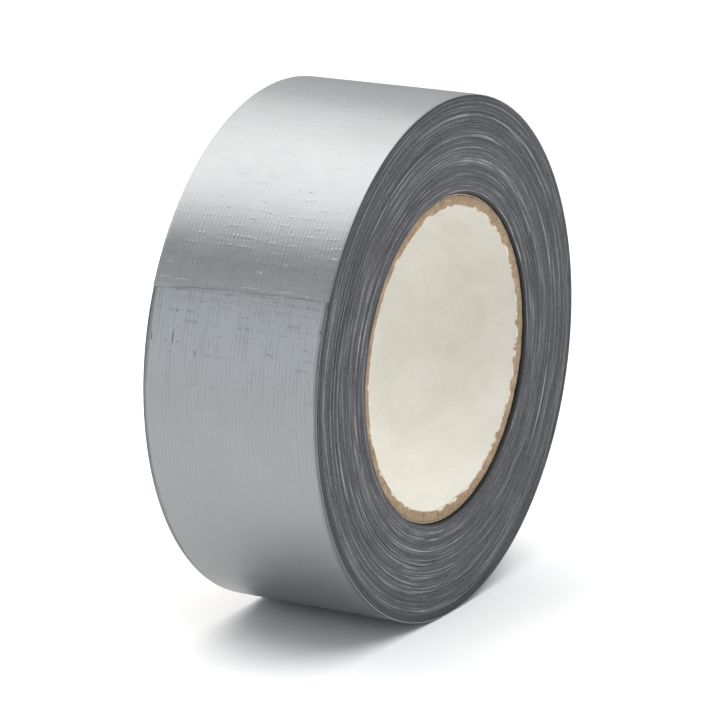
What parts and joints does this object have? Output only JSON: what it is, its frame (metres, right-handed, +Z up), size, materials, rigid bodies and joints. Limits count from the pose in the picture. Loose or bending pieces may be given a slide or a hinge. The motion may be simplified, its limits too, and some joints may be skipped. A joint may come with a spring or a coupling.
{
  "type": "duct tape roll",
  "caption": "Roll of silver cloth-backed adhesive tape wound on a plied paperboard core, with a cut free end that peels off the roll",
  "frame": {"origin": "on the bore's axis, half way across the tape's width", "axes": "+Y along the bore, away from the dished side; +Z up, the roll standing on its rim like a wheel; -X towards the side where the tape's cut end lies"},
  "size_m": [0.1317, 0.0487, 0.1319],
  "materials": {
    "film": "satin silver-grey film with the ribs of the cloth under it",
    "scrim": "open white gauze",
    "adhesive": "tacky grey rubber",
    "wound_tape_edges": "slit edges of many turns, dark blue-grey, with fine concentric lines",
    "liner_paper": "uncoated off-white paper",
    "kraft_board": "raw slit kraft board",
    "outer_ply_paper": "uncoated kraft paper"
  },
  "bodies": {
    "roll": {"core_liner": "liner_paper", "core_ply_1": "kraft_board", "core_ply_2": "kraft_board", "core_ply_3": "kraft_board", "core_ply_4": "kraft_board", "core_ply_5": "kraft_board", "core_outer_ply": "outer_ply_paper", "tape_winding": "wound_tape_edges", "outer_turn_film": "film", "outer_turn_scrim": "scrim", "outer_turn_adhesive": "adhesive"},
    "tail_link_1": {"tail_film_1": "film", "tail_scrim_1": "scrim", "tail_adhesive_1": "adhesive"},
    "tail_link_2": {"tail_film_2": "film", "tail_scrim_2": "scrim", "tail_adhesive_2": "adhesive"},
    "tail_link_3": {"tail_film_3": "film", "tail_scrim_3": "scrim", "tail_adhesive_3": "adhesive"},
    "tail_link_4": {"tail_film_4": "film", "tail_scrim_4": "scrim", "tail_adhesive_4": "adhesive"}
  },
  "joints": [
    {"name": "tail_peel_1", "type": "hinge", "parent": "roll", "child": "tail_link_1", "pos_m": [-0.02789, 0, 0.05979], "axis": [0, 1, 0], "range_deg": [0, 45]},
    {"name": "tail_peel_2", "type": "hinge", "parent": "tail_link_1", "child": "tail_link_2", "pos_m": [-0.03833, 0, 0.05371], "axis": [0, 1, 0], "range_deg": [0, 30]},
    {"name": "tail_peel_3", "type": "hinge", "parent": "tail_link_2", "child": "tail_link_3", "pos_m": [-0.04748, 0, 0.04583], "axis": [0, 1, 0], "range_deg": [0, 30]},
    {"name": "tail_peel_4", "type": "hinge", "parent": "tail_link_3", "child": "tail_link_4", "pos_m": [-0.05504, 0, 0.03642], "axis": [0, 1, 0], "range_deg": [0, 30]}
  ]
}
